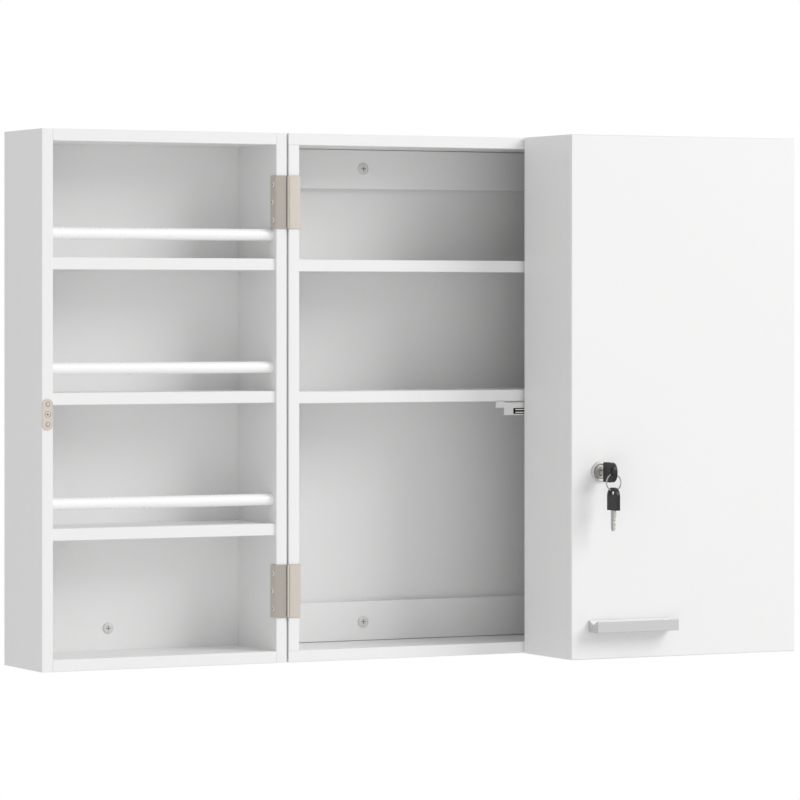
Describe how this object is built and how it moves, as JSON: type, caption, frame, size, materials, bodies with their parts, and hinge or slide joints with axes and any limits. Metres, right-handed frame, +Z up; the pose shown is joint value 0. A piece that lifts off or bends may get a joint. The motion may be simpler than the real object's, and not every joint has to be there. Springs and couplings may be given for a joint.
{
  "type": "lockable wall medicine cabinet",
  "caption": "White wall-hung medicine cabinet: shelved carcass, deep box doors with shelves and guard rails, wrap-around hinges, magnetic catch, bar handles and a cam lock with keys.",
  "frame": {"origin": "centre of the four wall screws on the cabinet's back plane", "axes": "+X to the right as seen from the front, +Y into the wall, +Z up"},
  "size_m": [0.8132, 0.275, 0.54],
  "materials": {
    "white_board": "satin white lacquer on fibreboard",
    "white_rail": "satin white lacquer on round bar",
    "satin_nickel": "satin nickel plate",
    "aluminium_bar": "satin anodised",
    "zinc_screw": "bright zinc plate",
    "polished_lock": "polished nickel",
    "lock_plug": "satin",
    "black_key_head": "moulded, slightly glossy",
    "key_steel": "nickel-plated brass",
    "white_catch": "moulded",
    "magnet": "bare ferrite",
    "pole_steel": "plain steel"
  },
  "bodies": {
    "cabinet": {"carcass_top": "white_board", "carcass_bottom": "white_board", "carcass_side_left": "white_board", "carcass_side_right": "white_board", "back_panel": "white_board", "lower_shelf": "white_board", "upper_shelf": "white_board", "lower_hanging_rail": "white_board", "upper_hanging_rail": "white_board", "wall_screws": "zinc_screw", "right_frame_leaves": "satin_nickel", "left_frame_leaves": "satin_nickel", "right_hinge_pins": "satin_nickel", "left_hinge_pins": "satin_nickel", "carcass_wood_screws": "zinc_screw", "catch_housing": "white_catch", "catch_magnet": "magnet", "catch_pole_plates": "pole_steel"},
    "left_door": {"left_door_front": "white_board", "left_door_free_side": "white_board", "left_door_hinge_side": "white_board", "left_door_bottom": "white_board", "left_door_top": "white_board", "left_door_handle": "aluminium_bar", "left_door_handle_screws": "zinc_screw", "left_door_strike": "satin_nickel", "left_door_wood_screws": "zinc_screw", "left_door_lower_shelf": "white_board", "left_door_middle_shelf": "white_board", "left_door_upper_shelf": "white_board", "left_door_lower_rail": "white_rail", "left_door_middle_rail": "white_rail", "left_door_upper_rail": "white_rail", "left_door_leaves": "satin_nickel"},
    "right_door": {"right_door_front": "white_board", "right_door_free_side": "white_board", "right_door_hinge_side": "white_board", "right_door_bottom": "white_board", "right_door_top": "white_board", "right_door_handle": "aluminium_bar", "right_door_handle_screws": "zinc_screw", "right_door_strike": "satin_nickel", "right_door_wood_screws": "zinc_screw", "right_door_lower_shelf": "white_board", "right_door_middle_shelf": "white_board", "right_door_upper_shelf": "white_board", "right_door_lower_rail": "white_rail", "right_door_middle_rail": "white_rail", "right_door_upper_rail": "white_rail", "right_door_leaves": "satin_nickel", "lock_housing": "polished_lock", "lock_nut": "polished_lock"},
    "lock_core": {"lock_plug": "lock_plug", "lock_cam": "polished_lock", "cam_screw": "zinc_screw"},
    "key": {"key_blade": "key_steel", "key_head": "black_key_head"},
    "key_ring": {"key_ring": "polished_lock"},
    "spare_key": {"spare_key_blade": "key_steel", "spare_key_head": "black_key_head"}
  },
  "joints": [
    {"name": "left_door_hinge", "type": "hinge", "parent": "cabinet", "child": "left_door", "pos_m": [-0.271, -0.1032, 0], "axis": [0, 0, 1], "range_deg": [0, 180]},
    {"name": "right_door_hinge", "type": "hinge", "parent": "cabinet", "child": "right_door", "pos_m": [0.271, -0.1032, 0], "axis": [0, 0, 1], "range_deg": [0, 180]},
    {"name": "key_turn", "type": "hinge", "parent": "right_door", "child": "lock_core", "pos_m": [0.035, -0.2064, -0.077], "axis": [0, 1, 0], "range_deg": [-90, 0]},
    {"name": "key_pull", "type": "slide", "parent": "lock_core", "child": "key", "axis": [0, -1, 0], "range_m": [0, 0.03]},
    {"name": "ring_swing", "type": "hinge", "parent": "key", "child": "key_ring", "pos_m": [0.035, -0.2348, -0.07862], "axis": [1, 0, 0], "range_deg": [-30, 12]},
    {"name": "spare_key_swing", "type": "hinge", "parent": "key_ring", "child": "spare_key", "pos_m": [0.035, -0.2348, -0.09562], "axis": [1, 0, 0], "range_deg": [-25, 8]}
  ]
}
